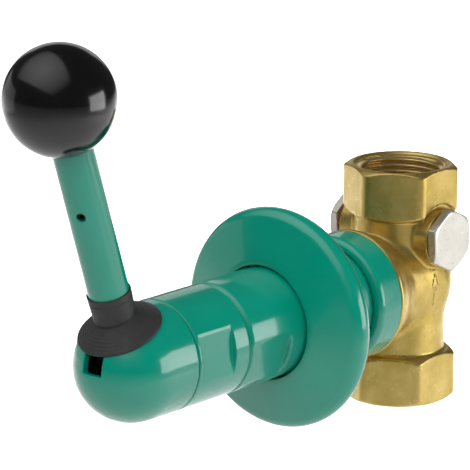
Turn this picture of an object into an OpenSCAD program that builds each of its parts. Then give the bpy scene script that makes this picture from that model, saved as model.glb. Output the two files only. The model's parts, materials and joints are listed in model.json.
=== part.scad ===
// Lever-operated wall valve: a threaded pipe body, a tube that carries the operator through the
// wall, a rosette that covers the wall opening, and a ball lever that pushes a spindle.
// Origin: centre of the inlet mouth. +Z is the flow direction, -Y points at the user.
// Axial places on the operator are distances in front of the pipe axis, so they grow towards -Y.

/* [Pipe body] */
// Half of the face-to-face length of the pipe body
half_length = 46.5; // [46:0.5:50]
// Width across flats of both hexagon ends
hex_flats = 39.5; // [38:0.5:41]
// Length of each hexagon end
hex_length = 19.5; // [18:0.5:21]
// Minor radius of the female G 1 thread
thread_radius = 15.15; // [15:0.05:15.3]
// Usable length of each female thread
thread_length = 18; // [16:0.5:18]
// Outer radius of the barrel between the hexagons
barrel_radius = 17.9; // [17.5:0.1:19]
// Outer radius of the chamber that crosses the barrel
chamber_radius = 19.5; // [19:0.1:21]

/* [Side plugs] */
// Height of the plug axis above the pipe crossing
plug_height = 19.5; // [19:0.1:20]
// Width across flats of the plug heads
plug_flats = 22; // [18:0.5:22]
// Turn of the plug heads about their own axis, in degrees
plug_turn = 4; // [0:1:30]

/* [Operator tube] */
// Outer radius of the sleeve, the lock ring and the dome
tube_radius = 21; // [21:0.1:22]
// Outer radius of the wall collar
collar_radius = 24.75; // [24.5:0.25:26]
// Distance from the pipe axis to the back of the wall collar
collar_start = 29.8; // [29.5:0.1:30]
// Distance from the pipe axis to the joint between sleeve and lock ring
sleeve_end = 114.2; // [114:0.1:115]
// Distance from the pipe axis to the joint between lock ring and dome
ring_end = 142.2; // [142:0.1:143]
// Distance from the pipe axis to the centre of the dome's sphere
dome_centre = 155.45; // [155.2:0.05:155.6]

/* [Rosette] */
// Outer radius of the rosette
rosette_radius = 42; // [41:0.1:46]
// Distance from the pipe axis to the widest line of the rosette
rosette_centre = 73.4; // [72:0.1:76]

/* [Lever] */
// Distance from the pipe axis to the lever's pivot pin
pivot_distance = 157.25; // [157:0.05:157.5]
// Forward tilt of the closed lever, in degrees
lever_tilt = 18.5; // [17:0.5:20]
// Travel of the lever from closed to open, in degrees
lever_travel = 55; // [50:1:56]
// Distance between the pivot pin and the drive pin
crank_radius = 8; // [8:0.1:8.2]
// Distance from the pivot pin to the centre of the ball
ball_distance = 107.5; // [100:0.5:120]
// Radius of the ball knob
ball_radius = 20; // [16:0.5:22]
// Outer radius of the lever tube
lever_radius = 7.5; // [7.5:0.1:7.8]

/* [Hidden] */
$fn = 96;
fit_gap = 0.05;
running_gap = 0.06;
hex_vertex = hex_flats / 2 / cos(30);
spindle_radius = 4;
bore_radius = 12.5;
sleeve_bore = 18.5;
dome_bore = 18.2;
slot_half_width = 4.25;
tube_start = 26;
spring_start = 66.2;
spring_end = 100;
boss_face = 21.4;
plug_seat = boss_face + 0.8;
plug_head = 3.6;
plug_vertex = plug_flats / 2 / cos(30);
pin_radius = 3;
crank_pin_radius = 2;
crank_angle = lever_travel / 2;
crank_pin_distance = pivot_distance + crank_radius * sin(crank_angle);
crank_pin_drop = crank_radius * cos(crank_angle);

// Points along an arc in a profile, from angle a to angle b
function arc(x, y, r, a, b, steps = 8) =
    [for (i = [0:steps]) [x + r * cos(a + (b - a) * i / steps), y + r * sin(a + (b - a) * i / steps)]];

// Local +Z runs forward along the operator axis from the pipe axis, local +Y is up
module along_operator() {
    translate([0, 0, half_length]) rotate([90, 0, 0]) children();
}

// A solid of revolution about the operator axis: points are [radius, distance]
module turned(points) {
    along_operator() rotate_extrude() polygon(points);
}

// A plain ring about the operator axis
module turned_ring(inner, outer, from, to) {
    turned([[inner, from], [outer, from], [outer, to], [inner, to]]);
}

// A hexagon nut or head about the operator axis, with a round bore
module hex_ring(flats, bore, from, to, turn = 0) {
    along_operator() translate([0, 0, from]) difference() {
        rotate([0, 0, turn]) cylinder(r = flats / 2 / cos(30), h = to - from, $fn = 6);
        translate([0, 0, -1]) cylinder(r = bore, h = to - from + 2);
    }
}

// Local +Z runs up the lever from the pivot pin
module on_lever() {
    translate([0, -pivot_distance, half_length]) rotate([lever_tilt, 0, 0]) children();
}

// A cylinder along X, centred on x = 0, at a distance in front of the pipe axis and a height
module cross_pin(r, half, distance, height) {
    translate([-half, -distance, half_length + height]) rotate([0, 90, 0]) cylinder(r = r, h = 2 * half);
}

// One chamfered hexagon end that stands on the plane z = 0
module hex_end() {
    corner = 3.4;
    intersection() {
        rotate([0, 0, 30]) cylinder(r = hex_vertex, h = hex_length, $fn = 6);
        rotate_extrude() polygon([
            [0, 0], [hex_vertex - corner, 0], [hex_vertex - 0.2, corner * 0.62],
            [hex_vertex - 0.2, hex_length - corner * 0.62], [hex_vertex - corner, hex_length], [0, hex_length]
        ]);
    }
}

// The chamber across the barrel: rear cap, straight part and front flare
module cross_chamber() {
    cap_start = -4;
    cap_depth = 15;
    spigot = 18.4;
    spigot_end = 44;
    cap = [for (i = [0:8]) [chamber_radius * sin(i * 90 / 8), cap_start - cap_depth * cos(i * 90 / 8)]];
    turned(concat(cap, [
        [chamber_radius, 14], [20.6, 18.5], [22.6, 24], [24.6, 27.5], [24.9, collar_start - 0.1],
        [spigot, collar_start - 0.1], [spigot, spigot_end], [0, spigot_end]
    ]));
}

// The space behind the seat, the way round it and both pipe threads
module water_ways() {
    seat_plane = 4;
    roof = 58;
    translate([0, 0, -1]) cylinder(r = thread_radius, h = thread_length + 1);
    translate([0, 0, 2 * half_length - thread_length]) cylinder(r = thread_radius, h = thread_length + 1);
    translate([0, 0, 10]) cylinder(r = 13.5, h = 19);
    intersection() {
        translate([0, 0, 10]) cylinder(r = 14, h = roof - 10);
        translate([-20, -seat_plane, 0]) cube([40, 30, roof]);
    }
    along_operator() translate([0, 0, seat_plane]) cylinder(r = bore_radius, h = 60);
    along_operator() translate([0, 0, -11]) cylinder(r = 11.5, h = 16);
    along_operator() translate([0, 0, -15.5]) cylinder(r = 8.5, h = 16);
    for (side = [-1, 1])
        translate([side * 4, -15, half_length + 9]) rotate([-33, 0, 0]) cylinder(r = 5.5, h = 27);
}

module valve_body() {
    spot_radius = 13.3;
    color([0.76, 0.65, 0.33]) difference() {
        union() {
            difference() {
                union() {
                    hex_end();
                    translate([0, 0, 2 * half_length - hex_length]) hex_end();
                    translate([0, 0, hex_length - 2]) cylinder(r = barrel_radius, h = 2 * (half_length - hex_length + 2));
                }
                for (side = [-1, 1])
                    translate([side * 21.6, 0, half_length + plug_height]) rotate([0, 90, 0])
                        cylinder(r = spot_radius, h = 8, center = true);
            }
            cross_chamber();
            cross_pin(11, boss_face, 0, plug_height);
        }
        water_ways();
        for (side = [-1, 1])
            translate([side * 15, 0, half_length + plug_height]) rotate([0, 90, 0])
                cylinder(r = 5.9, h = 15, center = true);
    }
}

module seat_ring() {
    color([0.8, 0.68, 0.36])
        turned([[7.5, 8], [12.45, 8], [12.45, 4.05], [9.6, 4.05], [8.4, 3.2], [7.5, 3.2]]);
}

// Plug with a low hexagon head and a threaded shank, pointing along +X
module side_plug() {
    shank = 11;
    translate([0, 0, half_length + plug_height]) rotate([0, 90, 0]) union() {
        intersection() {
            translate([0, 0, plug_seat]) rotate([0, 0, plug_turn]) cylinder(r = plug_vertex, h = plug_head, $fn = 6);
            rotate_extrude() polygon([
                [0, plug_seat], [plug_vertex - 0.5, plug_seat], [plug_vertex, plug_seat + 0.5],
                [plug_vertex, plug_seat + plug_head - 1], [plug_vertex - 1.2, plug_seat + plug_head],
                [0, plug_seat + plug_head]
            ]);
        }
        translate([0, 0, plug_seat - shank]) cylinder(r = 5.85, h = shank + 0.5);
    }
}

module side_plug_right() {
    color([0.82, 0.81, 0.78]) side_plug();
}

module side_plug_left() {
    color([0.82, 0.81, 0.78]) mirror([1, 0, 0]) side_plug();
}

// Fibre sealing ring under a plug head
module plug_washer() {
    translate([0, 0, half_length + plug_height]) rotate([0, 90, 0]) rotate_extrude()
        polygon([[5.95, boss_face], [9.9, boss_face], [9.9, plug_seat], [5.95, plug_seat]]);
}

module plug_washer_right() {
    color([0.6, 0.3, 0.22]) plug_washer();
}

module plug_washer_left() {
    color([0.6, 0.3, 0.22]) mirror([1, 0, 0]) plug_washer();
}

// Guide and seal carrier that closes the front of the chamber
module bonnet() {
    shaft = spindle_radius + running_gap;
    groove = 6.15;
    color([0.78, 0.67, 0.36]) turned([
        [shaft, 32], [12.4, 32], [12.4, 45.05], [17.3, 45.05], [17.3, 50], [9, 50], [9, 60], [shaft, 60],
        [shaft, 42.4], [groove, 42.4], [groove, 40], [shaft, 40], [shaft, 37.4], [groove, 37.4],
        [groove, 35], [shaft, 35]
    ]);
}

module bonnet_gasket() {
    color([0.6, 0.3, 0.22]) turned_ring(12.6, 17.3, 44, 45.05);
}

// Two O-rings in the bonnet's grooves
module stem_o_rings() {
    section = 1;
    color([0.1, 0.1, 0.1]) for (place = [36.2, 41.2])
        along_operator() translate([0, 0, place]) rotate_extrude()
            translate([spindle_radius + running_gap + section, 0]) circle(r = section, $fn = 32);
}

module gland_packing() {
    color([0.92, 0.92, 0.88]) turned_ring(spindle_radius + running_gap, 8.9, 60.05, 63);
}

module gland_nut() {
    color([0.78, 0.67, 0.36]) difference() {
        hex_ring(24, spindle_radius + running_gap, 54, 66);
        along_operator() translate([0, 0, 53]) cylinder(r = 9.05, h = 10.05);
    }
}

// Green collar that covers the joint between sleeve and pipe body
module wall_collar() {
    length = 13.2;
    round_r = 3;
    color([0, 0.56, 0.46]) turned(concat(
        [[tube_radius + fit_gap, collar_start]],
        arc(collar_radius - 0.6, collar_start + 0.6, 0.6, -90, 0, 3),
        arc(collar_radius - round_r, collar_start + length - round_r, round_r, 0, 90),
        [[tube_radius + fit_gap, collar_start + length]]
    ));
}

// A slab to cut a wrench flat: the flat lies at a depth below the tube's surface
module wrench_flat(from, to, depth, angle) {
    along_operator() rotate([0, 0, angle]) translate([tube_radius - depth, -20, from])
        cube([10, 40, to - from]);
}

module extension_sleeve() {
    lip = 1.2;
    color([0, 0.56, 0.46]) difference() {
        turned([
            [sleeve_bore, collar_start + 0.2], [tube_radius, collar_start + 0.2],
            [tube_radius, sleeve_end - 0.9 - lip], [tube_radius - lip, sleeve_end - 0.9], [sleeve_bore, sleeve_end - 0.9]
        ]);
        wrench_flat(91, 112, 2, -20);
        wrench_flat(91, 112, 2, 160);
    }
}

// Nylon bush that joins sleeve and lock ring and guides the spindle
module guide_bush() {
    outer = sleeve_bore - fit_gap;
    color([0.85, 0.84, 0.78]) turned([
        [spindle_radius + running_gap, 106], [outer, 106], [outer, 122], [outer - 3, 122], [outer - 3, 112],
        [spindle_radius + running_gap, 112]
    ]);
}

module lock_ring() {
    lip = 0.7;
    color([0, 0.56, 0.46]) difference() {
        turned([
            [sleeve_bore, sleeve_end], [tube_radius - lip, sleeve_end], [tube_radius, sleeve_end + lip],
            [tube_radius, ring_end - 0.4 - lip / 2], [tube_radius - lip / 2, ring_end - 0.4], [sleeve_bore, ring_end - 0.4]
        ]);
        wrench_flat(122, 140.3, 2, 5);
        wrench_flat(122, 140.3, 2, 185);
    }
}

// Hollow dome with the slot that the lever swings in
module dome_housing() {
    lip = 0.35;
    reach = 40;
    slot_top = 4;
    slot_bottom = 89;
    slot_middle = (slot_top + slot_bottom) / 2;
    color([0, 0.56, 0.46]) difference() {
        union() {
            turned([
                [0, ring_end], [tube_radius - lip, ring_end], [tube_radius, ring_end + lip],
                [tube_radius, dome_centre], [0, dome_centre]
            ]);
            turned([
                [0, 128], [sleeve_bore - fit_gap, 128], [sleeve_bore - fit_gap, ring_end + 1], [0, ring_end + 1]
            ]);
            along_operator() translate([0, 0, dome_centre]) sphere(r = tube_radius);
        }
        along_operator() translate([0, 0, dome_centre]) sphere(r = dome_bore);
        turned([[0, 147], [dome_bore, 147], [dome_bore, dome_centre], [0, dome_centre]]);
        turned([[0, 120], [16.2, 120], [16.2, 140], [17.95, 140], [17.95, 148], [0, 148]]);
        translate([-slot_half_width, -dome_centre, half_length]) rotate([90, 0, 90])
            linear_extrude(height = 2 * slot_half_width) polygon([
                [0, 0], for (a = [slot_top, slot_middle, slot_bottom]) [-reach * sin(a), reach * cos(a)]
            ]);
    }
}

// Ring with two cheeks that carries the pivot pin inside the dome
module pivot_cradle() {
    cheek_in = 9.5;
    cheek_out = 12.5;
    color([0.62, 0.62, 0.64]) difference() {
        union() {
            turned_ring(15.2, 17.9, 140.05, 144);
            intersection() {
                turned_ring(0, 17.9, 141, 147);
                for (side = [-1, 1])
                    translate([side * 14 - 4.5, -170, half_length - 6]) cube([9, 40, 12]);
            }
            for (side = [-1, 1])
                translate([side * (cheek_in + cheek_out) / 2 - 1.5, -pivot_distance, half_length - 6])
                    cube([cheek_out - cheek_in, pivot_distance - 142, 12]);
            for (side = [-1, 1])
                translate([side * (cheek_in + cheek_out) / 2 - 1.5, -pivot_distance, half_length])
                    rotate([0, 90, 0]) cylinder(r = 6, h = cheek_out - cheek_in);
        }
        cross_pin(pin_radius + 0.02, 20, pivot_distance, 0);
    }
}

module pivot_pin() {
    color([0.7, 0.7, 0.72]) difference() {
        cross_pin(pin_radius, 14.4, pivot_distance, 0);
        for (side = [-1, 1])
            translate([side * 13.2 - 0.45, -pivot_distance, half_length]) rotate([0, 90, 0])
                rotate_extrude() polygon([[2.4, 0], [4, 0], [4, 0.9], [2.4, 0.9]]);
    }
}

// Retaining rings in the grooves at both ends of the pivot pin
module pivot_circlips() {
    color([0.35, 0.35, 0.37]) for (side = [-1, 1])
        translate([side * 13.2 - 0.4, -pivot_distance, half_length]) rotate([0, 90, 0]) difference() {
            cylinder(r = 4.4, h = 0.8);
            translate([0, 0, -1]) cylinder(r = 2.45, h = 3);
            translate([1.5, -1.2, -1]) cube([5, 2.4, 3]);
        }
}

// Helical spring swept as a mesh: rings of points along the helix
module return_spring() {
    wire = 1;
    coil = 8;
    turns = 6.5;
    sides = 8;
    rings = 130;
    rise = spring_end - spring_start - 2 * wire - 0.2;
    points = [for (i = [0:rings]) for (k = [0:sides - 1])
        let (a = 360 * turns * i / rings, b = 360 * k / sides, r = coil + wire * cos(b))
        [r * cos(a), r * sin(a), spring_start + wire + 0.1 + rise * i / rings + wire * sin(b)]];
    walls = [for (i = [0:rings - 1]) for (k = [0:sides - 1])
        let (n = (k + 1) % sides)
        [i * sides + k, (i + 1) * sides + k, (i + 1) * sides + n, i * sides + n]];
    ends = [[for (k = [0:sides - 1]) k], [for (k = [sides - 1:-1:0]) rings * sides + k]];
    color([0.6, 0.6, 0.62]) along_operator() polyhedron(points = points, faces = concat(walls, ends));
}

module spindle() {
    color([0.7, 0.7, 0.72]) turned([
        [0, -6.5], [spindle_radius - 0.5, -6.5], [spindle_radius, -6], [spindle_radius, 4.05], [5.5, 4.05],
        [5.5, 6], [spindle_radius, 8], [spindle_radius, 101.6], [3.4, 101.6], [3.4, 102.6],
        [spindle_radius, 102.6], [spindle_radius, 137], [0, 137]
    ]);
}

// Cup that holds the sealing disc
module disc_holder() {
    color([0.78, 0.67, 0.36]) turned([
        [spindle_radius + fit_gap, -2], [10.4, -2], [10.4, 2.4], [9.8, 2.4], [9.8, 1], [spindle_radius + fit_gap, 1]
    ]);
}

module disc_gasket() {
    color([0.1, 0.1, 0.1]) turned_ring(spindle_radius + fit_gap, 9.75, 1, 3.1);
}

module disc_washer() {
    color([0.78, 0.67, 0.36]) turned_ring(spindle_radius + fit_gap, 6.2, 3.1, 4.05);
}

module disc_nut() {
    color([0.78, 0.67, 0.36]) hex_ring(13, spindle_radius + fit_gap, -5.6, -2);
}

// Dished washer on the spindle that the return spring pushes against
module spring_retainer() {
    color([0.62, 0.62, 0.64]) turned([
        [spindle_radius + fit_gap, spring_end], [11, spring_end], [11, spring_end + 1.6],
        [spindle_radius + fit_gap, spring_end + 1.6]
    ]);
}

module retainer_clip() {
    color([0.35, 0.35, 0.37]) difference() {
        turned_ring(3.45, 6.2, 101.65, 102.55);
        translate([-1.4, -103.5, half_length]) cube([2.8, 3, 8]);
    }
}

// Fork on the spindle's end: each ear has an upright slot for the drive pin
module clevis() {
    ear_in = 4;
    ear_out = 8.3;
    ear_top = -3.4;
    ear_bottom = -11.6;
    ear_end = crank_pin_distance + 3.8;
    slot_half = crank_pin_radius + 0.15;
    slot_high = crank_pin_drop - 0.1;
    slot_low = crank_radius + 0.1;
    color([0.62, 0.62, 0.64]) difference() {
        union() {
            turned_ring(0, 8, 126, 141);
            translate([-ear_out, -144, half_length + ear_bottom]) cube([2 * ear_out, 8, 18]);
            for (side = [-1, 1])
                translate([side * (ear_in + ear_out) / 2 - (ear_out - ear_in) / 2, -ear_end, half_length + ear_bottom])
                    cube([ear_out - ear_in, ear_end - 143, ear_top - ear_bottom]);
        }
        turned_ring(0, spindle_radius + fit_gap, 120, 137.1);
        for (drop = [slot_high, slot_low]) cross_pin(slot_half, 20, crank_pin_distance, -drop);
        translate([-20, -crank_pin_distance - slot_half, half_length - slot_low])
            cube([40, 2 * slot_half, slot_low - slot_high]);
    }
}

module clevis_lock_nut() {
    color([0.7, 0.7, 0.72]) hex_ring(13, spindle_radius + fit_gap, 122.6, 126);
}

// Flat tongue on the pivot pin: short crank arm below, round shank above for the lever tube
module lever_rocker() {
    half_thick = 3.6;
    shank_radius = 5;
    color([0.8, 0.79, 0.76]) difference() {
        union() {
            on_lever() {
                translate([-half_thick, 0, 0]) rotate([0, 90, 0]) cylinder(r = 6.4, h = 2 * half_thick);
                translate([-half_thick, -4, 0]) cube([2 * half_thick, 8, 22.8]);
                translate([0, 0, 22.5]) cylinder(r = shank_radius, h = 49);
            }
            translate([0, -pivot_distance, half_length]) rotate([-crank_angle, 0, 0]) {
                translate([-half_thick, -4, -crank_radius]) cube([2 * half_thick, 8, crank_radius]);
                translate([-half_thick, 0, -crank_radius]) rotate([0, 90, 0]) cylinder(r = 4, h = 2 * half_thick);
            }
        }
        cross_pin(pin_radius + 0.05, 20, pivot_distance, 0);
        cross_pin(crank_pin_radius + 0.02, 20, crank_pin_distance, -crank_pin_drop);
        roll_pin_hole(1.55, 9);
    }
}

module drive_pin() {
    color([0.7, 0.7, 0.72]) cross_pin(crank_pin_radius, 8.3, crank_pin_distance, -crank_pin_drop);
}

// Cross hole through tube and shank, or the pin in it
module roll_pin_hole(r, half) {
    height = 65.2;
    turn = 24;
    on_lever() rotate([0, 0, turn]) translate([0, 0, height]) rotate([90, 0, 0])
        cylinder(r = r, h = 2 * half, center = true);
}

module lever_tube() {
    start = tube_start;
    color([0, 0.56, 0.46]) difference() {
        on_lever() rotate_extrude() polygon([
            [5.05, start], [lever_radius, start], [lever_radius, ball_distance - 6], [5.05, ball_distance - 6]
        ]);
        roll_pin_hole(1.6, 9);
    }
}

module roll_pin() {
    color([0.2, 0.2, 0.22]) difference() {
        roll_pin_hole(1.5, 6.6);
        roll_pin_hole(0.8, 8);
    }
}

// Plug in the tube's end with the stud that the ball screws onto
module knob_insert() {
    color([0.62, 0.62, 0.64]) on_lever() rotate_extrude() polygon([
        [0, ball_distance - 20], [5, ball_distance - 20], [5, ball_distance - 7], [4, ball_distance - 6],
        [4, ball_distance + 6], [0, ball_distance + 6]
    ]);
}

module ball_knob() {
    color([0.05, 0.05, 0.06]) on_lever() difference() {
        translate([0, 0, ball_distance]) sphere(r = ball_radius);
        translate([0, 0, ball_distance - 30]) cylinder(r = lever_radius + fit_gap, h = 24.1);
        translate([0, 0, ball_distance - 10]) cylinder(r = 4 + fit_gap, h = 16.2);
    }
}

// Rubber boot: a tight sleeve on the tube and a conical skirt that covers the slot. The skirt
// leans a little further forward than the lever, because it lies on the dome and the tube behind it.
module rubber_boot() {
    crease = 20.6;
    skirt_tilt = 6.6;
    clear = tube_radius + 0.4;
    color([0.13, 0.13, 0.14]) difference() {
        union() {
            on_lever() rotate_extrude() polygon([
                [0, crease - 1.6], [7.8, crease - 1.6], [7.8, crease + 0.4], [7.75, 23], [7.9, 26], [8.05, 29],
                [8.1, 31], [lever_radius + fit_gap, 31.2], [lever_radius + fit_gap, tube_start - 0.1],
                [5.1, tube_start - 0.1], [5.1, 22.4], [0, 22.4]
            ]);
            on_lever() translate([0, 0, crease]) rotate([skirt_tilt, 0, 0]) translate([0, 0, -crease])
                rotate_extrude() polygon([
                    [0, 14.4], [15.6, 14.4], [15.75, 14.9], [15.6, 15.4], [13.5, 17], [11.3, 18.5],
                    [9.2, 19.8], [7.6, crease + 0.2], [0, crease + 0.2]
                ]);
        }
        along_operator() translate([0, 0, dome_centre]) sphere(r = clear);
        turned([[0, 120], [clear, 120], [clear, dome_centre], [0, dome_centre]]);
        on_lever() translate([-4, -4.4, 0]) cube([8, 8.8, 22.85]);
    }
}

// Dished cover plate that slides on the sleeve
module rosette() {
    hub_bore = tube_radius + 0.5;
    rim_round = 5.1;
    front = rosette_centre + 9.8;
    color([0, 0.53, 0.42]) turned(concat(
        [[hub_bore, rosette_centre - 2], [hub_bore, front - 0.5], [hub_bore + 0.5, front]],
        arc(rosette_radius - rim_round, rosette_centre, rim_round, 75, -66, 14),
        [
            [rosette_radius - 5, rosette_centre - 4.66], [rosette_radius - 5.6, rosette_centre - 2.5],
            [rosette_radius - 8.5, rosette_centre + 2.2], [hub_bore + 3, rosette_centre + 5.6],
            [hub_bore + 3, rosette_centre - 2]
        ]
    ));
}

// Rubber ring in front of the rosette's hub step that grips the sleeve
module rosette_o_ring() {
    section = 1.4;
    color([0.08, 0.08, 0.08]) along_operator() translate([0, 0, rosette_centre - 2 - section]) rotate_extrude()
        translate([tube_radius + 0.05 + section, 0]) circle(r = section, $fn = 32);
}

// Foam seal on the back of the rim, against the wall
module wall_seal() {
    color([0.2, 0.2, 0.2]) turned_ring(rosette_radius - 5, rosette_radius - 3.3, rosette_centre - 5.7, rosette_centre - 4.67);
}

valve_body();
seat_ring();
side_plug_right();
side_plug_left();
plug_washer_right();
plug_washer_left();
bonnet();
bonnet_gasket();
stem_o_rings();
gland_packing();
gland_nut();
wall_collar();
extension_sleeve();
guide_bush();
lock_ring();
dome_housing();
pivot_cradle();
pivot_pin();
pivot_circlips();
return_spring();
spindle();
disc_holder();
disc_gasket();
disc_washer();
disc_nut();
spring_retainer();
retainer_clip();
clevis();
clevis_lock_nut();
lever_rocker();
drive_pin();
lever_tube();
roll_pin();
knob_insert();
ball_knob();
rubber_boot();
rosette();
rosette_o_ring();
wall_seal();
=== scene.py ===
"""Visual model of the lever-operated wall valve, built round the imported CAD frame.

Row frame: origin at the inlet mouth, +Z along the pipe, -Y towards the user. Shapes are worked out
in millimetres and written to meshes in metres. "t" is the distance in front of the pipe axis (-Y),
"h" the height above the operator axis.
"""
import json
import math

import bmesh
import bpy
import numpy as np
from mathutils import Matrix, Vector


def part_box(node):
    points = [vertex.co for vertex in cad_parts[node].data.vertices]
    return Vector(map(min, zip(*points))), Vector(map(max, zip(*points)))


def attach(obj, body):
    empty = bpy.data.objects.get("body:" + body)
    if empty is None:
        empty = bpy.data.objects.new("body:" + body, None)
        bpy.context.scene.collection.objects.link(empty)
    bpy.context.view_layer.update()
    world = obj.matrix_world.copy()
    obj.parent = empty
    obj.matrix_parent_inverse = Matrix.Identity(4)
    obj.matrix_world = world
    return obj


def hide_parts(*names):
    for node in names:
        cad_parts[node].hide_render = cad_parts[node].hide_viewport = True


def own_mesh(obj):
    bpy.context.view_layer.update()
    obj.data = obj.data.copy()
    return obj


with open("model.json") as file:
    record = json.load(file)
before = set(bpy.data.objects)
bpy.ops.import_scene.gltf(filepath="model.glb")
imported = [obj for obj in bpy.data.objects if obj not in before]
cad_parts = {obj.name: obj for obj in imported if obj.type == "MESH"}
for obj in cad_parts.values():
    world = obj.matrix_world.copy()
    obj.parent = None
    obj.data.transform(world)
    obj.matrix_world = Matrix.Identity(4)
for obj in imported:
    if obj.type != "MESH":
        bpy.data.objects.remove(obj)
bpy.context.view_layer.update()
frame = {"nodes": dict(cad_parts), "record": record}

MM = 0.001


# ---------------------------------------------------------------- dimensions from the frame


def box_mm(node):
    low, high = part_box(node)
    return np.array(low) / MM, np.array(high) / MM


def span(node):
    """Where a node of the operator starts and ends, in front of the pipe axis."""
    low, high = box_mm(node)
    return -high[1], -low[1]


def radius(node):
    """Outer radius of a node that is round about the operator axis."""
    low, high = box_mm(node)
    return (high[2] - low[2]) / 2


def joint_place(name):
    joints = frame["record"]["behaviour"]["joints"]
    return np.array([j["pos_m"] for j in joints if j["name"] == name][0]) / MM


PIPE_LENGTH = box_mm("valve_body")[1][2]
AXIS_Z = PIPE_LENGTH / 2
TUBE_R = radius("lock_ring")
DOME_CENTRE = span("dome_housing")[1] - TUBE_R
PIVOT = joint_place("lever_swing")
BALL_R = 20.0
ball_low, ball_high = box_mm("ball_knob")
BALL_CENTRE = np.array([0.0, ball_low[1] + BALL_R, ball_high[2] - BALL_R])
LEVER_TILT = math.atan2(PIVOT[1] - BALL_CENTRE[1], BALL_CENTRE[2] - PIVOT[2])
BALL_DISTANCE = float(np.linalg.norm(BALL_CENTRE - PIVOT))
LEVER_R = box_mm("lever_tube")[1][0]

OPERATOR = Matrix.Translation((0, 0, AXIS_Z)) @ Matrix.Rotation(math.radians(90), 4, "X")
LEVER = Matrix.Translation(PIVOT) @ Matrix.Rotation(LEVER_TILT, 4, "X")


# ---------------------------------------------------------------- mesh helpers


def finish_mesh(mesh, name, body, materials, matrix=Matrix.Identity(4)):
    """Turns a mesh in millimetres into a piece in metres that rides on a body."""
    mesh.transform(Matrix.Scale(MM, 4) @ matrix)
    for material in materials:
        mesh.materials.append(material)
    obj = bpy.data.objects.new(name, mesh)
    bpy.context.scene.collection.objects.link(obj)
    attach(obj, body)
    return obj


def grid_faces(rows, columns, close_rows, close_columns):
    """Quads of a grid of rows x columns points, wrapped round where asked."""
    r = np.arange(rows if close_rows else rows - 1)
    c = np.arange(columns if close_columns else columns - 1)
    r, c = (a.ravel() for a in np.meshgrid(r, c, indexing="ij"))
    r2, c2 = (r + 1) % rows, (c + 1) % columns
    return np.stack([r * columns + c, r * columns + c2, r2 * columns + c2, r2 * columns + c], 1)


def mesh_from_arrays(name, points, quads, smooth=True):
    mesh = bpy.data.meshes.new(name)
    mesh.vertices.add(len(points))
    mesh.vertices.foreach_set("co", np.asarray(points, np.float32).ravel())
    mesh.loops.add(4 * len(quads))
    mesh.loops.foreach_set("vertex_index", np.asarray(quads, np.int32).ravel())
    mesh.polygons.add(len(quads))
    mesh.polygons.foreach_set("loop_start", np.arange(0, 4 * len(quads), 4, dtype=np.int32))
    mesh.update(calc_edges=True)
    mesh.validate()
    mesh.polygons.foreach_set("use_smooth", np.full(len(mesh.polygons), smooth))
    return mesh


def rounded(corners, steps=6):
    """A polyline through corners (radius, distance, fillet), with an arc at each fillet."""
    pts = [np.array(c[:2], float) for c in corners]
    out = []
    for i, (point, fillet) in enumerate(zip(pts, [c[2] for c in corners])):
        before, after = pts[i - 1], pts[(i + 1) % len(pts)]
        if fillet <= 0:
            out.append(point)
            continue
        a = (before - point) / np.linalg.norm(before - point)
        b = (after - point) / np.linalg.norm(after - point)
        half = math.acos(float(np.clip(a @ b, -1, 1))) / 2
        reach = fillet / math.tan(half)
        centre = point + (a + b) / np.linalg.norm(a + b) * fillet / math.sin(half)
        start, end = point + a * reach - centre, point + b * reach - centre
        angle = math.acos(float(np.clip(start @ end / fillet**2, -1, 1)))
        for k in range(steps + 1):
            s = k / steps
            swing = math.sin((1 - s) * angle) * start + math.sin(s * angle) * end
            out.append(centre + swing / math.sin(angle))
    return out


def lathe(name, profile, body, material, matrix=OPERATOR, segments=144, closed=True):
    """A closed solid of revolution about the matrix's Z axis from (radius, height) points."""
    profile = np.array(profile, float)
    angles = np.linspace(0, 2 * math.pi, segments, endpoint=False)
    rings = np.stack(
        [
            np.outer(profile[:, 0], np.cos(angles)),
            np.outer(profile[:, 0], np.sin(angles)),
            np.repeat(profile[:, 1][:, None], segments, 1),
        ],
        2,
    )
    quads = grid_faces(len(profile), segments, closed, True)
    mesh = mesh_from_arrays(name, rings.reshape(-1, 3), quads)
    obj = finish_mesh(mesh, name, body, [material], matrix)
    if not closed:
        weld = obj.modifiers.new("poles", "WELD")
        weld.merge_threshold = 1e-6
    turn_outward(obj)
    obj.modifiers.new("flats", "WEIGHTED_NORMAL")
    return obj


def turn_outward(obj):
    """Flips a closed mesh whose faces point inwards."""
    bm = bmesh.new()
    bm.from_mesh(obj.data)
    if bm.calc_volume(signed=True) < 0:
        bmesh.ops.reverse_faces(bm, faces=bm.faces)
        bm.to_mesh(obj.data)
    bm.free()


# Signed distances are in millimetres: negative inside. The blends round an edge over a width k.


def smooth_min(a, b, k):
    s = np.clip(0.5 + 0.5 * (b - a) / k, 0, 1)
    return b * (1 - s) + a * s - k * s * (1 - s)


def smooth_max(a, b, k):
    return -smooth_min(-a, -b, k)


def smooth_all(blend, k, first, *others):
    for other in others:
        first = blend(first, other, k)
    return first


def ease(s):
    s = np.clip(s, 0, 1)
    return s * s * (3 - 2 * s)


def axis_points(low, high, step, fine=()):
    """Grid lines from low to high, with a finer step inside each (low, high, step) of fine."""
    lines, at = [low], low
    while at < high:
        here = min([step] + [s for a, b, s in fine if a - s <= at <= b])
        at += here
        lines.append(at)
    return np.array(lines)


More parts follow.
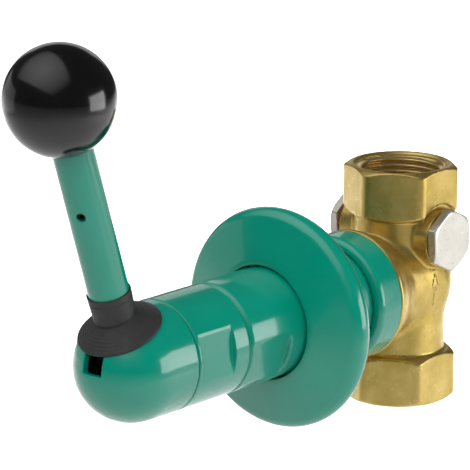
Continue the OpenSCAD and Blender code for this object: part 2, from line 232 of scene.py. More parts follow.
def solid(name, distance, axes, body, material, matrix=Matrix.Identity(4)):
    """Meshes the zero surface of a distance function by dual contouring on a grid of lines."""
    lines = [np.asarray(a, float) for a in axes]
    shape = tuple(len(a) for a in lines)
    values = np.empty(shape, np.float32)
    for i, x in enumerate(lines[0]):
        values[i] = distance(x, lines[1][:, None], lines[2][None, :])
    inside = values < 0
    low = [slice(0, -1)] * 3
    count = np.zeros([n - 1 for n in shape], np.int8)
    for corner in np.ndindex(2, 2, 2):
        count += inside[tuple(slice(c, c + n - 1) for c, n in zip(corner, shape))]
    mixed = (count > 0) & (count < 8)
    cells = np.stack(np.nonzero(mixed), 1)
    number = np.full(mixed.shape, -1, np.int64)
    number[mixed] = np.arange(len(cells))

    total = np.zeros((len(cells), 3))
    hits = np.zeros(len(cells))
    for axis in range(3):
        b, c = [k for k in range(3) if k != axis]
        for db, dc in np.ndindex(2, 2):
            start = cells.copy()
            start[:, b] += db
            start[:, c] += dc
            end = start.copy()
            end[:, axis] += 1
            v0, v1 = values[tuple(start.T)], values[tuple(end.T)]
            cut = (v0 < 0) != (v1 < 0)
            s = np.where(cut, v0 / np.where(cut, v0 - v1, 1), 0)
            for k in range(3):
                a0, a1 = lines[k][start[:, k]], lines[k][end[:, k]]
                total[:, k] += np.where(cut, a0 + (a1 - a0) * s, 0)
            hits += cut
    points = total / hits[:, None]

    quads = []
    for axis in range(3):
        b, c = (axis + 1) % 3, (axis + 2) % 3
        first = [slice(0, n) for n in shape]
        first[axis] = slice(0, shape[axis] - 1)
        second = list(first)
        second[axis] = slice(1, shape[axis])
        for leaving in (True, False):
            a_in, b_in = inside[tuple(first)], inside[tuple(second)]
            change = (a_in & ~b_in) if leaving else (~a_in & b_in)
            edge = np.stack(np.nonzero(change), 1)
            edge = edge[(edge[:, b] > 0) & (edge[:, c] > 0)]
            edge = edge[(edge[:, b] < shape[b] - 1) & (edge[:, c] < shape[c] - 1)]
            corners = []
            for db, dc in ((-1, -1), (0, -1), (0, 0), (-1, 0)):
                cell = edge.copy()
                cell[:, b] += db
                cell[:, c] += dc
                corners.append(number[tuple(cell.T)])
            quad = np.stack(corners if leaving else corners[::-1], 1)
            quads.append(quad)
    quads = np.concatenate(quads)

    def slope(p, e=0.02):
        return np.stack(
            [(distance(*(p + e * d).T) - distance(*(p - e * d).T)) / (2 * e) for d in np.eye(3)], 1
        )

    limit = 0.35 * min(np.diff(a).min() for a in lines)
    for _ in range(4):
        g = slope(points)
        move = distance(*points.T)[:, None] * g / np.maximum((g * g).sum(1), 0.25)[:, None]
        points -= np.clip(move, -limit, limit)
    normals = slope(points)
    normals /= np.maximum(np.linalg.norm(normals, axis=1), 1e-9)[:, None]

    mesh = mesh_from_arrays(name, points, quads)
    obj = finish_mesh(mesh, name, body, [material], matrix)
    turned = normals @ np.array(matrix.to_3x3()).T
    if len(mesh.vertices) == len(turned):
        mesh.normals_split_custom_set_from_vertices(turned)
    return obj


# ---------------------------------------------------------------- materials


class Nodes:
    """A small builder for one Principled material."""

    def __init__(self, name, **values):
        self.material = bpy.data.materials.new(name)
        self.material.use_nodes = True
        self.tree = self.material.node_tree
        self.shader = self.tree.nodes["Principled BSDF"]
        self.place = self.tree.nodes.new("ShaderNodeTexCoord").outputs["Object"]
        for key, value in values.items():
            self.shader.inputs[key.replace("_", " ")].default_value = value

    def link(self, source, target):
        self.tree.links.new(source, target)

    def noise(self, scale, detail=2.0, stretch=(1, 1, 1), rough=0.5):
        """Noise whose grains are about 1/scale metres, stretched along an axis."""
        place = self.tree.nodes.new("ShaderNodeMapping")
        place.inputs["Scale"].default_value = stretch
        self.link(self.place, place.inputs["Vector"])
        node = self.tree.nodes.new("ShaderNodeTexNoise")
        node.inputs["Scale"].default_value = scale
        node.inputs["Detail"].default_value = detail
        node.inputs["Roughness"].default_value = rough
        self.link(place.outputs["Vector"], node.inputs["Vector"])
        return node.outputs["Fac"]

    def ramp(self, factor, low, high, start=0.3, end=0.7):
        """Colours, or greys for numbers, between low and high."""
        node = self.tree.nodes.new("ShaderNodeValToRGB")
        as_colour = lambda v: (*v, 1) if isinstance(v, tuple) else (v, v, v, 1)
        for element, at, value in zip(node.color_ramp.elements, (start, end), (low, high)):
            element.position = at
            element.color = as_colour(value)
        self.link(factor, node.inputs["Fac"])
        return node.outputs["Color"]

    def colour(self, factor, low, high, **where):
        self.link(self.ramp(factor, low, high, **where), self.shader.inputs["Base Color"])

    def roughness(self, factor, low, high, **where):
        self.link(self.ramp(factor, low, high, **where), self.shader.inputs["Roughness"])

    def bump(self, factor, depth_mm, strength=1.0):
        """Adds relief of this depth, on top of any relief added before."""
        node = self.tree.nodes.new("ShaderNodeBump")
        node.inputs["Strength"].default_value = strength
        node.inputs["Distance"].default_value = depth_mm * MM
        self.link(factor, node.inputs["Height"])
        normal = self.shader.inputs["Normal"]
        if normal.is_linked:
            self.link(normal.links[0].from_socket, node.inputs["Normal"])
        self.link(node.outputs["Normal"], normal)


def green_paint(name="green_coat", light=(0.0, 0.262, 0.178), dark=(0.0, 0.246, 0.164)):
    """Gloss powder coat: a clear, slightly wavy skin over a saturated green."""
    m = Nodes(name, Coat_Weight=0.6, Coat_Roughness=0.05, Coat_IOR=1.5)
    m.colour(m.noise(60, 2), dark, light)
    m.roughness(m.noise(220, 3), 0.16, 0.24)
    m.bump(m.noise(420, 1), 0.012)
    m.bump(m.noise(1800, 1), 0.0015)
    return m.material


def forged_brass():
    """Blasted and tumbled brass forging: satin, with fine grain and faint stains."""
    m = Nodes("brass_forged", Metallic=0.86)
    m.colour(m.noise(90, 4, rough=0.6), (0.50, 0.36, 0.085), (0.66, 0.49, 0.16), start=0.35, end=0.68)
    m.roughness(m.noise(500, 3), 0.26, 0.40)
    m.bump(m.noise(1500, 2), 0.006)
    m.bump(m.noise(260, 2), 0.02)
    return m.material


def cut_brass():
    """Freshly cut brass of the threads."""
    m = Nodes("brass_cut", Metallic=0.85)
    m.colour(m.noise(150, 3), (0.62, 0.44, 0.16), (0.76, 0.57, 0.25))
    m.roughness(m.noise(900, 2, stretch=(1, 1, 6)), 0.14, 0.26)
    m.bump(m.noise(700, 2, stretch=(1, 1, 8)), 0.006)
    return m.material


def nickel_plate():
    m = Nodes("nickel_plate", Metallic=0.88)
    m.colour(m.noise(120, 3), (0.63, 0.605, 0.545), (0.71, 0.685, 0.62))
    m.roughness(m.noise(600, 3), 0.26, 0.36)
    m.bump(m.noise(900, 2), 0.006)
    return m.material


def turned_steel():
    m = Nodes("turned_steel", Metallic=1.0)
    m.colour(m.noise(150, 3), (0.42, 0.42, 0.43), (0.56, 0.56, 0.57))
    m.roughness(m.noise(600, 2, stretch=(1, 5, 1)), 0.22, 0.34)
    m.bump(m.noise(900, 1, stretch=(1, 8, 1)), 0.005)
    return m.material


def blacked_steel():
    """Oiled black oxide, for the roll pin deep in its hole."""
    m = Nodes("steel_blacked", Metallic=0.6)
    m.colour(m.noise(300, 2), (0.012, 0.012, 0.012), (0.02, 0.02, 0.02))
    m.roughness(m.noise(600, 2), 0.5, 0.65)
    m.bump(m.noise(1200, 2), 0.006)
    return m.material


def moulded_rubber(name="rubber_moulded", shade=0.022):
    m = Nodes(name, Specular_IOR_Level=0.42)
    m.colour(m.noise(140, 3), (shade, shade * 0.97, shade), (shade * 1.35, shade * 1.3, shade * 1.35))
    m.roughness(m.noise(500, 3), 0.46, 0.60)
    m.bump(m.noise(2600, 2), 0.010)
    m.bump(m.noise(350, 2), 0.015)
    return m.material


def polished_phenolic():
    m = Nodes("phenolic_black", Coat_Weight=0.3, Coat_Roughness=0.09)
    m.colour(m.noise(80, 2), (0.0035, 0.0035, 0.004), (0.005, 0.005, 0.0055))
    m.roughness(m.noise(300, 3), 0.13, 0.18)
    m.bump(m.noise(160, 1), 0.006)
    return m.material


def plain_polymer(name, low, high, rough):
    """Fibre, nylon and other small inner pieces."""
    m = Nodes(name)
    m.colour(m.noise(400, 4), low, high)
    m.roughness(m.noise(700, 2), rough - 0.08, rough + 0.08)
    m.bump(m.noise(1500, 2), 0.01)
    return m.material


GREEN = green_paint()
BRASS = forged_brass()
BRASS_CUT = cut_brass()
NICKEL = nickel_plate()
STEEL = turned_steel()
RUBBER = moulded_rubber()
SEAL_RUBBER = moulded_rubber("rubber_seal", 0.012)
BLACK = polished_phenolic()
FIBRE = plain_polymer("fibre_red", (0.20, 0.055, 0.03), (0.30, 0.09, 0.05), 0.7)
PTFE = plain_polymer("ptfe_white", (0.74, 0.74, 0.72), (0.82, 0.82, 0.80), 0.5)
NYLON = plain_polymer("nylon_natural", (0.66, 0.64, 0.55), (0.74, 0.72, 0.63), 0.45)

# Every CAD node gets a detailed material; those with a finer piece below are replaced as well.
MATERIAL_OF_SLOT = {
    "brass": BRASS,
    "nickel": NICKEL,
    "green_paint": GREEN,
    "steel": STEEL,
    "fibre": FIBRE,
    "black_rubber": SEAL_RUBBER,
    "white_ptfe": PTFE,
    "natural_nylon": NYLON,
    "black_phenolic": BLACK,
}
for part in frame["record"]["subparts"]:
    cad_node = frame["nodes"][part["node"]]
    for cad_slot in cad_node.material_slots:
        cad_slot.material = MATERIAL_OF_SLOT[part["material_slot"]]
frame["nodes"]["roll_pin"].material_slots[0].material = blacked_steel()


# ---------------------------------------------------------------- brass pipe body

HEX_FLATS = 39.5
HEX_LENGTH = 19.5
HEX_CHAMFER_R = 19.35
BARREL_R = 17.9
CHAMBER_R = 19.5
FLARE_START = 14.0
FLARE_END = span("wall_collar")[0] - 0.1
FLARE_R = 24.9
CAP_START = -4.0
CAP_DEPTH = 15.0
SPIGOT_R = 18.4
SPIGOT_END = -box_mm("valve_body")[0][1]
PLUG_LOW, PLUG_HIGH = box_mm("plug_washer_right")
PLUG_HEIGHT = (PLUG_LOW[2] + PLUG_HIGH[2]) / 2 - AXIS_Z
BOSS_R = 11.0
BOSS_FACE = PLUG_LOW[0]
LINER_R = 17.1
THREAD_DEPTH = 18.0


def hexagon(a, b, flats, k):
    """Rounded hexagon with flats facing +-a."""
    c, s = 0.5, math.sqrt(3) / 2
    sides = smooth_all(smooth_max, k, np.abs(a), np.abs(c * a + s * b), np.abs(c * a - s * b))
    return sides - flats / 2


def hex_end(x, y, z, start):
    """One hexagon end with both edges chamfered at 30 degrees."""
    across = np.hypot(x, y)
    above, below = z - (start + HEX_LENGTH), start - z
    cone = 0.5 * (across - HEX_CHAMFER_R)
    rise = math.sqrt(3) / 2
    return smooth_all(
        smooth_max, 0.5, hexagon(x, y, HEX_FLATS, 2.2), above, below, cone + rise * above, cone + rise * below
    )


def cross_chamber(x, y, h):
    """The round chamber across the barrel, with its rear cap and front flare."""
    t = -y
    across = np.hypot(x, h)
    reach = CHAMBER_R + (FLARE_R - CHAMBER_R) * ease((t - FLARE_START) / (FLARE_END - FLARE_START))
    cap = (np.sqrt((across / CHAMBER_R) ** 2 + ((t - CAP_START) / CAP_DEPTH) ** 2) - 1) * CAP_DEPTH
    side = np.where(t < CAP_START, cap, (across - reach) * 0.92)
    return smooth_max(side, t - FLARE_END, 0.8)


def flow_arrow(y, h):
    """Plan of the raised flow arrow, which points up."""
    centre, tip, neck, tail = 2.5, 5.6, 0.8, -6.6
    across = np.abs(-y - centre)
    slope = 2.1 / (tip - neck)
    head = np.maximum((across - (tip - h) * slope) / math.hypot(1, slope), neck - h)
    shaft = np.maximum(across - 0.75, np.maximum(h - neck - 1, tail - h))
    return np.minimum(head, shaft)


def water_ways(x, y, z, h):
    t = -y
    across = np.hypot(x, y)
    mouth = LINER_R + np.clip(np.abs(h) - (AXIS_Z - 1.3), 0, 2)
    threads = np.maximum(across - mouth, (AXIS_Z - THREAD_DEPTH) - np.abs(h))
    inlet = np.maximum(across - 13.5, np.abs(z - 19.5) - 9.5)
    behind = smooth_all(smooth_max, 1.0, across - 14, -4 - y, z - 58, 10 - z)
    around = np.hypot(x, h)
    rear = np.maximum(around - 11.5, np.abs(t + 3.0) - 8.0)
    pocket = np.maximum(around - 8.5, np.abs(t + 7.5) - 8.0)
    front = np.maximum(around - 12.5, 4 - t)
    c, s = math.cos(math.radians(33)), math.sin(math.radians(33))
    along = (y + 15) * s + (h - 9) * c
    off = (y + 15) * c - (h - 9) * s
    up = np.maximum(np.hypot(np.abs(x) - 4, off) - 5.5, np.abs(along - 13.5) - 13.5)
    ports = np.maximum(np.hypot(y, h - PLUG_HEIGHT) - 5.9, 7.5 - np.abs(x))
    return smooth_all(smooth_min, 0.6, threads, inlet, behind, rear, pocket, front, up, ports)


def pipe_body(x, y, z):
    h = z - AXIS_Z
    across = np.hypot(x, y)
    barrel = np.maximum(across - BARREL_R, np.abs(h) - (AXIS_Z - HEX_LENGTH + 3))
    ends = np.minimum(hex_end(x, y, z, 0), hex_end(x, y, z, PIPE_LENGTH - HEX_LENGTH))
    body = smooth_min(ends, barrel, 1.2)
    around_plug = np.hypot(y, h - PLUG_HEIGHT)
    spot_face = smooth_max(around_plug - 13.3, 17.6 - np.abs(x), 0.6)
    body = smooth_max(body, -spot_face, 0.6)
    body = smooth_min(body, cross_chamber(x, y, h), 2.4)
    relief = 0.45 * ease(0.5 - flow_arrow(y, h) / 0.5) * (x > 0)
    body = body - relief * (np.abs(h) < 9)
    boss = smooth_max(around_plug - BOSS_R, np.abs(x) - BOSS_FACE, 0.5)
    body = smooth_min(body, boss, 1.4)
    spigot = smooth_max(np.hypot(x, h) - SPIGOT_R, np.abs(-y - SPIGOT_END / 2) - SPIGOT_END / 2, 0.4)
    body = np.minimum(body, spigot)
    return smooth_max(body, -water_ways(x, y, z, h), 0.5)


def thread_liner(name, mouth, inward):
    """Female G 1 thread: a thin closed sleeve whose inside is the helical thread."""
    minor, depth, pitch = 15.15, 1.47, 25.4 / 11
    turns_fade = 2.5
    columns, rows = 120, 110
    angle = np.linspace(0, 2 * math.pi, columns, endpoint=False)
    along = np.linspace(0.9, THREAD_DEPTH, rows)
    a, s = np.meshgrid(angle, along)
    wave = np.abs(((s / pitch - inward * a / (2 * math.pi)) % 1) * 2 - 1)
    form = ease(np.clip(wave * 1.25 - 0.125, 0, 1))
    fade = np.clip((THREAD_DEPTH - s) / turns_fade, 0, 1)
    inner = minor + depth * form * fade
    entry = np.clip(1.9 - s, 0, 1) * 1.6
    inner = np.minimum(inner + entry, LINER_R - 0.05)
    z = mouth + inward * s
    skin = np.stack([inner * np.cos(a), inner * np.sin(a), z], 2)
    outer = LINER_R + 0.15
    back = np.stack([outer * np.cos(a), outer * np.sin(a), z], 2)[::-1][:: rows - 1]
    points = np.concatenate([skin, back])
    quads = grid_faces(len(points), columns, True, True)
    mesh = mesh_from_arrays(name, points.reshape(-1, 3), quads)
    obj = finish_mesh(mesh, name, "valve", [BRASS_CUT])
    turn_outward(obj)
    return obj


STEP = 0.6
body_low, body_high = box_mm("valve_body")
forging = solid(
    "pipe_body_forging",
    pipe_body,
    [np.arange(low - 1.2, high + 1.3, STEP) for low, high in zip(body_low, body_high)],
    "valve",
    BRASS,
)
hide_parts("valve_body")
thread_liner("inlet_thread", 0.0, 1)
thread_liner("outlet_thread", PIPE_LENGTH, -1)


# ---------------------------------------------------------------- side plugs

PLUG_FLATS = 22.0
PLUG_SEAT = PLUG_HIGH[0]
PLUG_FACE = box_mm("side_plug_right")[1][0]
PLUG_TURN = math.radians(4)


def side_plug(x, y, z):
    """Hexagon head with a chamfered face and a plain shank, pointing along +X."""
    h = z - AXIS_Z - PLUG_HEIGHT
    c, s = math.cos(PLUG_TURN), math.sin(PLUG_TURN)
    across, up = y * c + h * s, h * c - y * s
    around = np.hypot(y, h)
    cone = 0.5 * (around - 11.05) + math.sqrt(3) / 2 * (x - PLUG_FACE)
    sides = hexagon(across, up, PLUG_FLATS, 0.5)
    head = smooth_all(smooth_max, 0.35, sides, x - PLUG_FACE, PLUG_SEAT - x, cone)
    shank = np.maximum(around - 5.8, np.abs(x - PLUG_SEAT + 5) - 6)
    return smooth_min(head, shank, 0.3)


def add_side_plug(name, node, side):
    low, high = box_mm("side_plug_right")
    outward = axis_points(low[0] - 0.7, high[0] + 0.7, 0.9, [(PLUG_SEAT - 1, PLUG_FACE + 1, 0.3)])
    axes = [
        np.sort(side * outward),
        np.arange(low[1] - 0.7, high[1] + 0.8, 0.35),
        np.arange(low[2] - 0.7, high[2] + 0.8, 0.35),
    ]
    plug = solid(name, lambda x, y, z: side_plug(side * x, y, z), axes, "valve", NICKEL)
    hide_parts(node)


add_side_plug("plug_right", "side_plug_right", 1)
add_side_plug("plug_left", "side_plug_left", -1)


# ---------------------------------------------------------------- green tube parts

SLEEVE_BORE = 18.5
DOME_BORE = 18.2
FLAT_DEPTH = 2.0


def wrench_flats(x, h, t, start, end, degrees, k=0.35):
    """The space that two opposite wrench flats take out of a tube."""
    a = math.radians(degrees)
    off = np.abs(x * math.cos(a) + h * math.sin(a))
    return smooth_all(smooth_max, k, (TUBE_R - FLAT_DEPTH) - off, start - t, t - end)


def tube_wall(x, h, t, start, end, bore, edge):
    """A tube about the operator axis with rounded outer edges."""
    around = np.hypot(x, h)
    outer = smooth_all(smooth_max, edge, around - TUBE_R, start - t, t - end)
    return np.maximum(outer, bore - around)


def operator_axes(start, end, step, slow, fine):
    """Grid lines for a part of the tube: step across, slow along, finer in the fine stretches."""
    side = np.arange(-TUBE_R - 1.0, TUBE_R + 1.1, step)
    along = axis_points(start - 0.8, end + 0.8, slow, fine)
    return [side, -along[::-1], side + AXIS_Z]


SLEEVE_START, SLEEVE_END = span("extension_sleeve")
SLEEVE_FLAT = (91.0, 112.0)


def sleeve(x, y, z):
    t, h = -y, z - AXIS_Z
    wall = tube_wall(x, h, t, SLEEVE_START, SLEEVE_END, SLEEVE_BORE, 0.5)
    lead = (np.hypot(x, h) - TUBE_R + t - SLEEVE_END + 1.5) * math.sqrt(0.5)
    wall = smooth_max(wall, lead, 0.4)
    return smooth_max(wall, -wrench_flats(x, h, t, *SLEEVE_FLAT, -20), 0.35)


sleeve_piece = solid(
    "sleeve_coated",
    sleeve,
    operator_axes(
        SLEEVE_START, SLEEVE_END, 0.5, 2.0,
        [
            (SLEEVE_START - 1, SLEEVE_START + 1, 0.4),
            (90, 92.4, 0.3),
            (92.4, 110, 0.9),
            (110, SLEEVE_END + 1, 0.3),
        ],
    ),
    "valve",
    GREEN,
)
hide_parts("extension_sleeve")

RING_START, RING_END = span("lock_ring")
RING_FLAT = (122.0, 140.3)


def lock_ring(x, y, z):
    t, h = -y, z - AXIS_Z
    wall = tube_wall(x, h, t, RING_START, RING_END, SLEEVE_BORE, 0.9)
    return smooth_max(wall, -wrench_flats(x, h, t, *RING_FLAT, 5), 0.35)


ring_piece = solid(
    "lock_ring_coated",
    lock_ring,
    operator_axes(
        RING_START, RING_END, 0.45, 1.2,
        [(RING_START - 1, RING_START + 1.2, 0.3), (121, 123.4, 0.3), (139, RING_END + 1, 0.3)],
    ),
    "valve",
    GREEN,
)
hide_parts("lock_ring")

DOME_START = RING_END + 0.4
SLOT_HALF = 4.25
SLOT_TOP, SLOT_BOTTOM = math.radians(4), math.radians(89)


def dome(x, y, z):
    t, h = -y, z - AXIS_Z
    forward = t - DOME_CENTRE
    round_end = np.maximum(forward, 0)
    around = np.hypot(x, h)
    outer = smooth_max(np.sqrt(x * x + h * h + round_end**2) - TUBE_R, DOME_START - t, 0.7)
    spigot = np.maximum(around - (SLEEVE_BORE - 0.05), 128 - t)
    shell = np.minimum(outer, np.maximum(spigot, t - DOME_START - 1))
    hollow = np.sqrt(x * x + h * h + round_end**2) - np.where(t < 146, 16.2, DOME_BORE)
    upper = forward * math.cos(SLOT_TOP) - h * math.sin(SLOT_TOP)
    lower = h * math.sin(SLOT_BOTTOM) - forward * math.cos(SLOT_BOTTOM)
    slot = smooth_all(smooth_max, 0.5, np.abs(x) - SLOT_HALF, -upper, -lower)
    return smooth_max(np.maximum(shell, -hollow), -slot, 0.45)


dome_low, dome_high = box_mm("dome_housing")
dome_piece = solid(
    "dome_coated",
    dome,
    [
        np.arange(dome_low[0] - 0.9, dome_high[0] + 1.0, 0.42),
        -axis_points(127.2, DOME_CENTRE + TUBE_R + 0.8, 1.0, [(141.6, DOME_CENTRE + TUBE_R + 1, 0.42)])[::-1],
        np.arange(dome_low[2] - 0.9, dome_high[2] + 1.0, 0.42),
    ],
    "valve",
    GREEN,
)
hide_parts("dome_housing")

# ---------------------------------------------------------------- return spring

SPRING_COIL_R = 8.0
SPRING_WIRE_R = 1.0
SPRING_TURNS = 6.5


def spring_rings():
    """Rings of points along the helix, which close to a point at the rounded wire ends."""
    start, end = span("return_spring")
    wire_length = SPRING_TURNS * 2 * math.pi * SPRING_COIL_R
    tip = SPRING_WIRE_R * (1 - np.cos(np.linspace(0, math.pi / 2, 7)))
    body = np.linspace(SPRING_WIRE_R, wire_length - SPRING_WIRE_R, 420)[1:-1]
    along = np.concatenate([tip, body, (wire_length - tip)[::-1]])
    near_end = np.clip(np.minimum(along, wire_length - along) / SPRING_WIRE_R, 0, 1)
    wire = (SPRING_WIRE_R * np.sqrt(1 - (1 - near_end) ** 2))[:, None]
    share = (along / wire_length)[:, None]
    turn = 2 * math.pi * SPRING_TURNS * share
    section = np.linspace(0, 2 * math.pi, 14, endpoint=False)[None, :]
    reach = SPRING_COIL_R + wire * np.cos(section)
    first = start + SPRING_WIRE_R
    height = first + (end - start - 2 * SPRING_WIRE_R) * share + wire * np.sin(section)
    return np.stack([reach * np.cos(turn), reach * np.sin(turn), height], 2)


def add_spring():
    rings = spring_rings()
    quads = grid_faces(rings.shape[0], rings.shape[1], False, True)
    mesh = mesh_from_arrays("return_spring_wire", rings.reshape(-1, 3), quads)
    spring = finish_mesh(mesh, "return_spring_wire", "valve", [STEEL], OPERATOR)
    weld = spring.modifiers.new("tips", "WELD")
    weld.merge_threshold = 1e-6
    turn_outward(spring)
    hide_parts("return_spring")
    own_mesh(spring)


add_spring()

COLLAR_START, COLLAR_END = span("wall_collar")
COLLAR_R = radius("wall_collar")
collar = lathe(
    "collar_coated",
    rounded([
        (TUBE_R + 0.05, COLLAR_START, 0),
        (COLLAR_R, COLLAR_START, 0.6),
        (COLLAR_R, COLLAR_END, 3.0),
        (TUBE_R + 0.05, COLLAR_END, 0),
    ], 10),
    "valve",
    GREEN,
)
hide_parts("wall_collar")

# ---------------------------------------------------------------- rosette

ROSETTE_BACK, ROSETTE_FRONT = span("rosette")
ROSETTE_R = radius("rosette")
HUB_R = TUBE_R + 0.5
BEAD_R = 5.1
BEAD_T = ROSETTE_FRONT - 9.8


def rosette_profile():
    """Dished plate whose front slopes into a round bead at the rim."""
    bead = [
        (ROSETTE_R - BEAD_R + BEAD_R * math.cos(a), BEAD_T + BEAD_R * math.sin(a))
        for a in np.radians(np.linspace(73, -66, 40))
    ]
    plate = [
        (
            HUB_R + 0.6 + (bead[0][0] - HUB_R - 0.6) * k / 8,
            ROSETTE_FRONT + (bead[0][1] - ROSETTE_FRONT) * k / 8,
        )
        for k in range(8)
    ]
    behind = rounded([
        (ROSETTE_R - 5, ROSETTE_BACK, 0.3),
        (ROSETTE_R - 5.6, BEAD_T - 2.5, 1.0),
        (ROSETTE_R - 8.5, BEAD_T + 2.2, 3.0),
        (HUB_R + 3, BEAD_T + 5.6, 1.2),
        (HUB_R + 3, BEAD_T - 2, 0.4),
        (HUB_R, BEAD_T - 2, 0.3),
        (HUB_R, ROSETTE_FRONT - 0.5, 0),
    ], 6)
    return plate + bead + behind


rosette = lathe("rosette_coated", rosette_profile(), "rosette_set", GREEN, segments=192)
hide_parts("rosette")

# ---------------------------------------------------------------- lever

TUBE_START = 26.0
TUBE_END = BALL_DISTANCE - 6
PIN_HEIGHT = 65.2
PIN_TURN = math.radians(24)


def lever_tube(x, y, z):
    """Tube along the lever, with the cross hole for the roll pin."""
    around = np.hypot(x, y)
    wall = smooth_all(smooth_max, 0.4, around - LEVER_R, TUBE_START - z, z - TUBE_END)
    wall = np.maximum(wall, 5.05 - around)
    off = x * math.cos(PIN_TURN) + y * math.sin(PIN_TURN)
    hole = np.hypot(off, z - PIN_HEIGHT) - 1.6
    return smooth_max(wall, -hole, 0.35)


lever_lines = np.arange(-LEVER_R - 0.7, LEVER_R + 0.8, 0.33)
tube_piece = solid(
    "lever_tube_coated",
    lever_tube,
    [
        lever_lines,
        lever_lines,
        axis_points(TUBE_START - 0.7, TUBE_END + 0.7, 1.5, [(PIN_HEIGHT - 3, PIN_HEIGHT + 3, 0.3)]),
    ],
    "lever",
    GREEN,
    LEVER,
)
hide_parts("lever_tube")


def ball_profile():
    """Ball cut off where a countersunk bore for the tube enters."""
    bore = LEVER_R + 0.06
    mouth = math.asin((bore + 0.5) / BALL_R)
    arc = [
        (BALL_R * math.sin(a), BALL_DISTANCE + BALL_R * math.cos(a))
        for a in np.linspace(0, math.pi - mouth, 90)
    ]
    floor = BALL_DISTANCE - 5.9
    return arc + [(bore, arc[-1][1] + 0.5), (bore, floor), (0, floor)]


ball = lathe("ball_polished", ball_profile(), "lever", BLACK, LEVER, segments=144, closed=False)
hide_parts("ball_knob")

BOOT_CREASE = 20.6
BOOT_TILT = math.radians(6.6)


def boot_profile():
    """Outside from the sleeve's lip down to the skirt's rim, then back up the inside."""
    grip = LEVER_R + 0.06
    outside = rounded([
        (grip, 31.0, 0),
        (7.75, 31.2, 0.08),
        (8.12, 31.0, 0.15),
        (8.02, 28.5, 3.0),
        (7.86, 24.5, 4.0),
        (7.72, 21.5, 0.8),
        (7.35, 20.75, 0.3),
        (8.3, 20.2, 0.4),
        (11.3, 18.5, 6.0),
        (13.5, 17.0, 6.0),
        (15.6, 15.4, 0.6),
        (15.72, 14.9, 0.25),
        (15.5, 14.45, 0.15),
    ], 5)
    inside = [(14.6, 14.5), (9.5, 18.3), (6.3, 20.2), (6.3, 22.9), (5.4, 23.1), (5.4, 25.8), (grip, 25.9)]
    corners = outside + inside
    dense = []
    for (r0, u0), (r1, u1) in zip(corners, corners[1:] + corners[:1]):
        count = max(1, int(math.hypot(r1 - r0, u1 - u0) / 0.3))
        dense += [(r0 + (r1 - r0) * k / count, u0 + (u1 - u0) * k / count) for k in range(count)]
    lined = []
    for r, u in dense:
        upper = u > 20.2 - 0.62 * (r - 8.3) - 0.8
        groove = 0.055 * math.sin(2 * math.pi * r / 1.15) if 9.6 < r < 15.0 and upper else 0
        lined.append((r, u + groove))
    return lined


def tilt_skirt(obj):
    """Leans the skirt further forward than the sleeve, with the bend just above the crease."""
    inverse = LEVER.inverted()
    for v in obj.data.vertices:
        place = inverse @ (v.co / MM)
        lean = BOOT_TILT * (1 - ease((place.z - BOOT_CREASE) / 2.6))
        place.z -= BOOT_CREASE
        place.rotate(Matrix.Rotation(lean, 3, "X").to_quaternion())
        place.z += BOOT_CREASE
        v.co = (LEVER @ place) * MM


def drape_boot(obj):
    """Lifts the skirt where it would sink into the dome or the tube behind it."""
    inverse = LEVER.inverted()
    for v in obj.data.vertices:
        u = (inverse @ (v.co / MM)).z
        if u > 24:
            continue
        lift = Vector((0, -math.sin(LEVER_TILT), math.cos(LEVER_TILT)))
        point = v.co / MM
        for _ in range(12):
            forward = max(-point.y - DOME_CENTRE, 0)
            gap = math.sqrt(point.x**2 + (point.z - AXIS_Z) ** 2 + forward**2) - TUBE_R - 0.3
            if gap >= 0:
                break
            point = point - lift * gap
        v.co = point * MM


boot = lathe("boot_rubber", boot_profile(), "lever", RUBBER, LEVER, segments=128)
tilt_skirt(boot)
drape_boot(boot)
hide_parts("rubber_boot")


# ---------------------------------------------------------------- floor, light and camera

FLOOR_Z = -0.25
AIM = Vector((-0.051276, -0.038062, 0.062496))
VIEW_AZIMUTH, VIEW_ELEVATION, VIEW_ROLL = (math.radians(a) for a in (40.3, 14.5, 0.29))
VIEW_DISTANCE = 1.365
LENS = 269.1


def view_axes():
    """Unit vectors back, right and up of the main view, before its roll."""
    a, e = VIEW_AZIMUTH, VIEW_ELEVATION
    back = Vector((math.sin(a) * math.cos(e), -math.cos(a) * math.cos(e), math.sin(e)))
    right = Vector((math.cos(a), math.sin(a), 0))
    return back, right, back.cross(right)


def add_floor():
    mesh = bpy.data.meshes.new("floor")
    half = 6.0
    mesh.from_pydata(
        [(-half, -half, FLOOR_Z), (half, -half, FLOOR_Z), (half, half, FLOOR_Z), (-half, half, FLOOR_Z)],
        [],
        [(0, 1, 2, 3)],
    )
    floor = bpy.data.objects.new("floor", mesh)
    bpy.context.scene.collection.objects.link(floor)
    m = Nodes("floor_pale", Roughness=0.9, Specular_IOR_Level=0.1)
    m.colour(m.noise(3, 2), (0.88, 0.88, 0.88), (0.9, 0.9, 0.9))
    mesh.materials.append(m.material)


def add_softbox(name, azimuth, elevation, distance, width, height, radiance, glossy=True, spread=180):
    """A rectangular area light facing the object, at degrees to the right of +Y and above level."""
    a, e = math.radians(azimuth), math.radians(elevation)
    towards = Vector((math.sin(a) * math.cos(e), math.cos(a) * math.cos(e), math.sin(e)))
    lamp = area_light(name, width, height, radiance, glossy)
    lamp.data.spread = math.radians(spread)
    lamp.location = Vector((0, -0.10, 0.06)) + towards * distance
    lamp.rotation_euler = towards.to_track_quat("Z", "Y").to_euler()


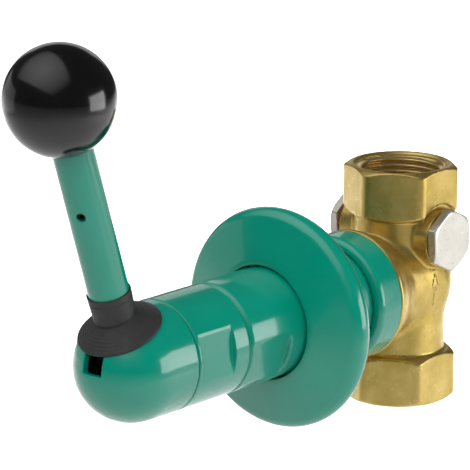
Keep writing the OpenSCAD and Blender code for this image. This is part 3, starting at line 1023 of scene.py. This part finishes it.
def area_light(name, width, height, radiance, glossy):
    """An area light the camera never sees, and reflections only where glossy is true."""
    data = bpy.data.lights.new(name, "AREA")
    data.shape = "RECTANGLE"
    data.size, data.size_y = width, height
    data.energy = radiance * math.pi * width * height
    lamp = bpy.data.objects.new(name, data)
    lamp.visible_glossy = glossy
    lamp.visible_camera = False
    bpy.context.scene.collection.objects.link(lamp)
    return lamp


def add_floor_light(name, place, width, height, radiance, spread):
    """A light above the floor that points down, kept out of reflections."""
    lamp = area_light(name, width, height, radiance, False)
    lamp.data.spread = math.radians(spread)
    lamp.location = place
    lamp.rotation_euler = (0, 0, VIEW_AZIMUTH)


def add_camera():
    """The main view, level apart from a slight roll."""
    back, right, up = view_axes()
    turned_right = right * math.cos(VIEW_ROLL) + up * math.sin(VIEW_ROLL)
    turned_up = up * math.cos(VIEW_ROLL) - right * math.sin(VIEW_ROLL)
    data = bpy.data.cameras.new("camera")
    data.sensor_width = 36
    data.lens = LENS
    data.clip_start, data.clip_end = 0.05, 50
    camera = bpy.data.objects.new("camera", data)
    place = Matrix((turned_right, turned_up, back)).transposed().to_4x4()
    place.translation = AIM + back * VIEW_DISTANCE
    camera.matrix_world = place
    bpy.context.scene.collection.objects.link(camera)
    bpy.context.scene.camera = camera


def add_world(grey):
    """An even dim surround."""
    world = bpy.data.worlds.new("studio")
    world.use_nodes = True
    world.node_tree.nodes["Background"].inputs["Color"].default_value = (grey, grey, grey, 1)
    bpy.context.scene.world = world


add_floor()
add_world(0.04)
add_softbox("softbox_right", 60, 4, 1.0, 0.73, 0.46, 3.7)
add_softbox("softbox_above", -157, 62, 1.0, 2.4, 1.1, 0.46, spread=110)
add_softbox("card_left", -103, 2, 1.0, 0.9, 0.5, 0.45)
add_softbox("card_behind", -42, 16, 1.6, 1.2, 0.6, 0.6)
add_softbox("fill_front", 145, 35, 1.3, 1.3, 0.9, 0.82, False, 90)
add_floor_light("floor_near", (-0.75, 0.88, 0.9), 1.4, 0.8, 2.6, 70)
add_floor_light("floor_far", (-1.1, 1.6, 1.4), 3.2, 1.6, 1.5, 90)
add_floor_light("overhead", (0, 0, 3.2), 7.5, 7.5, 0.55, 180)
add_floor_light("floor_right", (0.85, 1.0, 0.9), 1.0, 0.9, 1.15, 90)
add_camera()
bpy.context.scene.view_settings.view_transform = "Standard"
